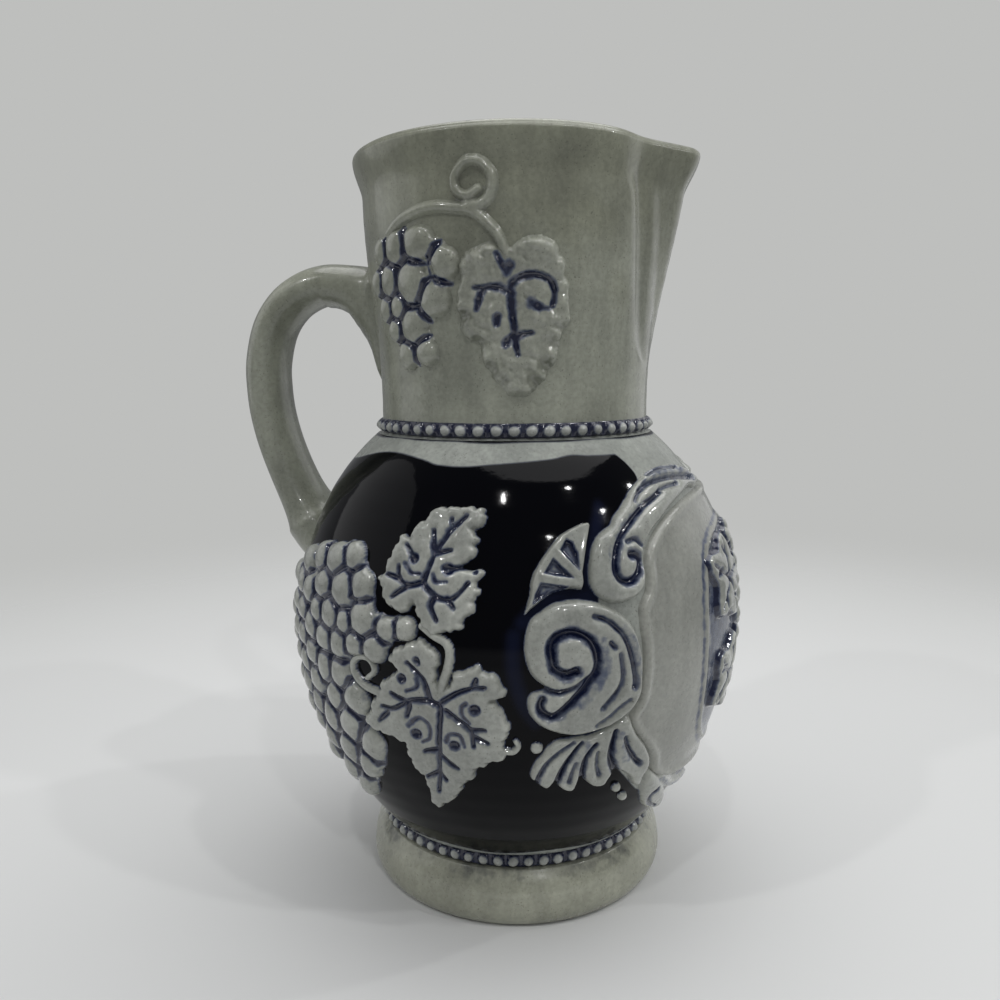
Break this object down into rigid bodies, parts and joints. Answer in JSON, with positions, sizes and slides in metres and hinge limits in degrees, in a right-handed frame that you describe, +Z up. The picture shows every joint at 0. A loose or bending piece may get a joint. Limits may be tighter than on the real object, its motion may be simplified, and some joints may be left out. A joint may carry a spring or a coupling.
{
  "type": "stoneware pitcher",
  "caption": "Salt-glazed stoneware wine pitcher: round cobalt belly, beaked spout, strap handle, bead bands and relief of vine leaves, grapes and scrolls.",
  "frame": {"origin": "the middle of the foot ring, on the table", "axes": "+X towards the spout, +Y towards the side that the picture does not show, +Z up along the thrown axis"},
  "size_m": [0.1496, 0.133, 0.21],
  "materials": {
    "salt_glaze": "grey-green salt glaze with an orange-peel skin and fine dark specks",
    "cobalt_ground": "near-black cobalt-blue ground with a wet gloss, grey on the collar",
    "bead_glaze": "grey glaze with cobalt run between the beads",
    "medallion_glaze": "smooth pale grey salt glaze",
    "relief_glaze": "pale grey salt glaze with deep cobalt in the cut lines",
    "neck_relief_glaze": "grey-green salt glaze with cobalt lines"
  },
  "bodies": {
    "root": {"foot_ring": "salt_glaze", "neck": "salt_glaze", "handle": "salt_glaze", "belly": "cobalt_ground", "neck_bead_band": "bead_glaze", "foot_bead_band": "bead_glaze", "medallion": "medallion_glaze", "emblem_grapes": "relief_glaze", "emblem_leaf_upper_right": "relief_glaze", "emblem_leaf_upper_left": "relief_glaze", "emblem_leaf_lower_right": "relief_glaze", "emblem_leaf_lower_left": "relief_glaze", "right_neck_vine": "neck_relief_glaze", "right_neck_grapes": "neck_relief_glaze", "right_neck_leaf": "neck_relief_glaze", "right_upper_leaf": "relief_glaze", "right_lower_leaf": "relief_glaze", "right_grape_bunch": "relief_glaze", "right_fan": "relief_glaze", "right_upper_scroll": "relief_glaze", "right_lower_scroll": "relief_glaze", "right_palmette": "relief_glaze", "right_scroll_knob": "relief_glaze", "right_pearl": "relief_glaze", "left_neck_vine": "neck_relief_glaze", "left_neck_grapes": "neck_relief_glaze", "left_neck_leaf": "neck_relief_glaze", "left_upper_leaf": "relief_glaze", "left_lower_leaf": "relief_glaze", "left_grape_bunch": "relief_glaze", "left_fan": "relief_glaze", "left_upper_scroll": "relief_glaze", "left_lower_scroll": "relief_glaze", "left_palmette": "relief_glaze", "left_scroll_knob": "relief_glaze", "left_pearl": "relief_glaze"}
  },
  "joints": []
}
